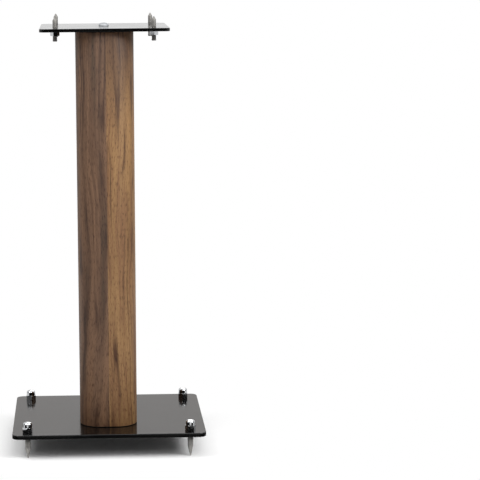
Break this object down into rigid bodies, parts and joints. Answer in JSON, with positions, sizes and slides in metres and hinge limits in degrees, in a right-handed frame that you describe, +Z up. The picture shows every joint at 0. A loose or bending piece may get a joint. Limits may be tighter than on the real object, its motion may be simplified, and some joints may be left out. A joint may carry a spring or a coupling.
{
  "type": "speaker stand",
  "caption": "Floor-standing speaker stand: veneered oblong column between gloss black steel plates, with adjustable spikes under the base and on the top plate.",
  "frame": {"origin": "floor plane, under the middle of the column, with the stand standing on its floor spikes", "axes": "+Z up, -Y towards the front of the stand, +X to the right as seen from the front"},
  "size_m": [0.265, 0.233, 0.6],
  "materials": {
    "gloss_black_steel": "gloss black lacquer",
    "walnut_veneer": "satin lacquered walnut veneer",
    "fibreboard": "raw fibreboard",
    "black_rubber": "matt",
    "brass_insert": "turned",
    "bright_steel": "bright zinc plated",
    "nickel_plated_steel": "turned and nickel plated",
    "chrome_plated_steel": "polished chrome"
  },
  "bodies": {
    "stand": {"base_plate": "gloss_black_steel", "top_plate": "gloss_black_steel", "column_tube": "fibreboard", "column_veneer": "walnut_veneer", "base_end_block": "fibreboard", "top_end_block": "fibreboard", "base_insert": "brass_insert", "top_insert": "brass_insert", "base_gasket": "black_rubber", "top_gasket": "black_rubber", "base_plate_bolt": "bright_steel", "top_plate_bolt": "bright_steel"},
    "floor_spike_front_left": {"floor_spike_front_left": "nickel_plated_steel"},
    "cap_nut_front_left": {"cap_nut_front_left": "chrome_plated_steel"},
    "floor_spike_front_right": {"floor_spike_front_right": "nickel_plated_steel"},
    "cap_nut_front_right": {"cap_nut_front_right": "chrome_plated_steel"},
    "floor_spike_back_left": {"floor_spike_back_left": "nickel_plated_steel"},
    "cap_nut_back_left": {"cap_nut_back_left": "chrome_plated_steel"},
    "floor_spike_back_right": {"floor_spike_back_right": "nickel_plated_steel"},
    "cap_nut_back_right": {"cap_nut_back_right": "chrome_plated_steel"},
    "speaker_spike_front_left": {"speaker_spike_front_left": "nickel_plated_steel"},
    "lock_nut_front_left": {"lock_nut_front_left": "chrome_plated_steel"},
    "speaker_spike_front_right": {"speaker_spike_front_right": "nickel_plated_steel"},
    "lock_nut_front_right": {"lock_nut_front_right": "chrome_plated_steel"},
    "speaker_spike_back_left": {"speaker_spike_back_left": "nickel_plated_steel"},
    "lock_nut_back_left": {"lock_nut_back_left": "chrome_plated_steel"},
    "speaker_spike_back_right": {"speaker_spike_back_right": "nickel_plated_steel"},
    "lock_nut_back_right": {"lock_nut_back_right": "chrome_plated_steel"}
  },
  "joints": [
    {"name": "floor_spike_front_left_level", "type": "slide", "parent": "stand", "child": "floor_spike_front_left", "axis": [0, 0, -1], "range_m": [-0.002, 0.004]},
    {"name": "cap_nut_front_left_turn", "type": "hinge", "parent": "stand", "child": "cap_nut_front_left", "pos_m": [-0.1115, -0.0955, 0.044], "axis": [0, 0, 1], "continuous": true},
    {"name": "floor_spike_front_right_level", "type": "slide", "parent": "stand", "child": "floor_spike_front_right", "axis": [0, 0, -1], "range_m": [-0.002, 0.004]},
    {"name": "cap_nut_front_right_turn", "type": "hinge", "parent": "stand", "child": "cap_nut_front_right", "pos_m": [0.1115, -0.0955, 0.044], "axis": [0, 0, 1], "continuous": true},
    {"name": "floor_spike_back_left_level", "type": "slide", "parent": "stand", "child": "floor_spike_back_left", "axis": [0, 0, -1], "range_m": [-0.002, 0.004]},
    {"name": "cap_nut_back_left_turn", "type": "hinge", "parent": "stand", "child": "cap_nut_back_left", "pos_m": [-0.1115, 0.0955, 0.044], "axis": [0, 0, 1], "continuous": true},
    {"name": "floor_spike_back_right_level", "type": "slide", "parent": "stand", "child": "floor_spike_back_right", "axis": [0, 0, -1], "range_m": [-0.002, 0.004]},
    {"name": "cap_nut_back_right_turn", "type": "hinge", "parent": "stand", "child": "cap_nut_back_right", "pos_m": [0.1115, 0.0955, 0.044], "axis": [0, 0, 1], "continuous": true},
    {"name": "speaker_spike_front_left_level", "type": "slide", "parent": "stand", "child": "speaker_spike_front_left", "axis": [0, 0, 1], "range_m": [-0.006, 0.006]},
    {"name": "lock_nut_front_left_turn", "type": "hinge", "parent": "stand", "child": "lock_nut_front_left", "pos_m": [-0.0665, -0.0665, 0.5775], "axis": [0, 0, 1], "continuous": true},
    {"name": "speaker_spike_front_right_level", "type": "slide", "parent": "stand", "child": "speaker_spike_front_right", "axis": [0, 0, 1], "range_m": [-0.006, 0.006]},
    {"name": "lock_nut_front_right_turn", "type": "hinge", "parent": "stand", "child": "lock_nut_front_right", "pos_m": [0.0665, -0.0665, 0.5775], "axis": [0, 0, 1], "continuous": true},
    {"name": "speaker_spike_back_left_level", "type": "slide", "parent": "stand", "child": "speaker_spike_back_left", "axis": [0, 0, 1], "range_m": [-0.006, 0.006]},
    {"name": "lock_nut_back_left_turn", "type": "hinge", "parent": "stand", "child": "lock_nut_back_left", "pos_m": [-0.0665, 0.0665, 0.5775], "axis": [0, 0, 1], "continuous": true},
    {"name": "speaker_spike_back_right_level", "type": "slide", "parent": "stand", "child": "speaker_spike_back_right", "axis": [0, 0, 1], "range_m": [-0.006, 0.006]},
    {"name": "lock_nut_back_right_turn", "type": "hinge", "parent": "stand", "child": "lock_nut_back_right", "pos_m": [0.0665, 0.0665, 0.5775], "axis": [0, 0, 1], "continuous": true}
  ]
}
